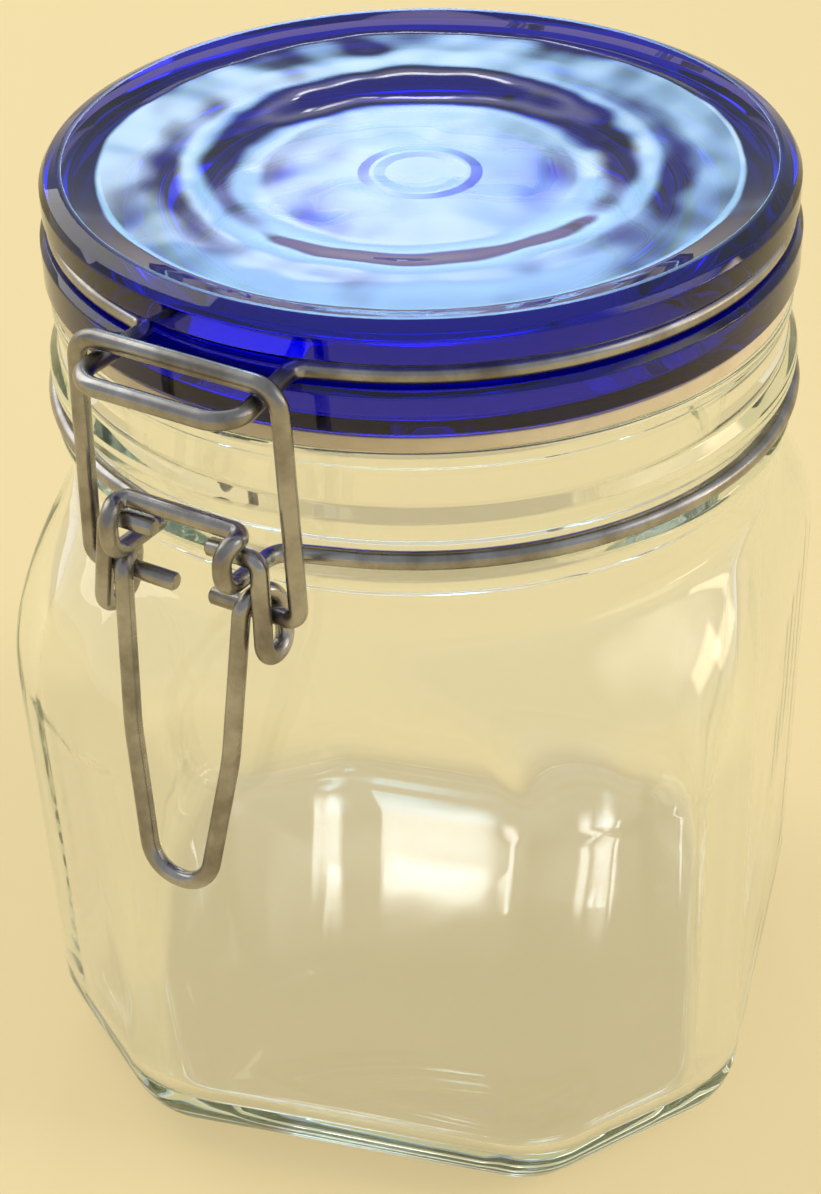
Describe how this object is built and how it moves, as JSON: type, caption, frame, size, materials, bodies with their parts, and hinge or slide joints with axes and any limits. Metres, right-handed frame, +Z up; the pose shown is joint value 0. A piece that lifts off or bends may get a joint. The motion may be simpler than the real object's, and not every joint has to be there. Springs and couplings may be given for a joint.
{
  "type": "lidded glass canister",
  "caption": "Square-bodied clear glass storage canister with cut-off corners and a round neck, a hinged blue glass lid, a flat seal and a bent-wire toggle clasp that pulls the lid shut.",
  "frame": {"origin": "middle of the base, on the surface that the canister stands on", "axes": "+Z up along the neck's axis, -Y towards the clasp, +Y towards the lid's hinge"},
  "size_m": [0.1212, 0.1301, 0.145],
  "materials": {
    "clear_glass": "pressed soda-lime glass, clear with a faint grey-green at thick edges",
    "blue_glass": "pressed cobalt blue glass, polished",
    "seal_rubber": "translucent off-white seal ring",
    "steel_wire": "drawn steel wire, satin with fine drawing lines"
  },
  "bodies": {
    "jar": {"jar_body": "clear_glass", "neck_ring": "steel_wire"},
    "lid": {"lid_glass": "blue_glass", "gasket": "seal_rubber", "lid_ring": "steel_wire"},
    "lever": {"lever": "steel_wire"},
    "hoop": {"hoop": "steel_wire"}
  },
  "joints": [
    {"name": "lid_hinge", "type": "hinge", "parent": "jar", "child": "lid", "pos_m": [0, 0.0578, 0.1185], "axis": [-1, 0, 0], "range_deg": [0, 195]},
    {"name": "lever_lift", "type": "hinge", "parent": "jar", "child": "lever", "pos_m": [0, -0.0606, 0.1162], "axis": [-1, 0, 0], "range_deg": [0, 130]},
    {"name": "hoop_swing", "type": "hinge", "parent": "lever", "child": "hoop", "pos_m": [0, -0.0588, 0.1073], "axis": [1, 0, 0], "range_deg": [0, 156]}
  ],
  "couplings": [
    {"joint": "hoop_swing", "follows": "lever_lift", "ratio": 1.2}
  ]
}
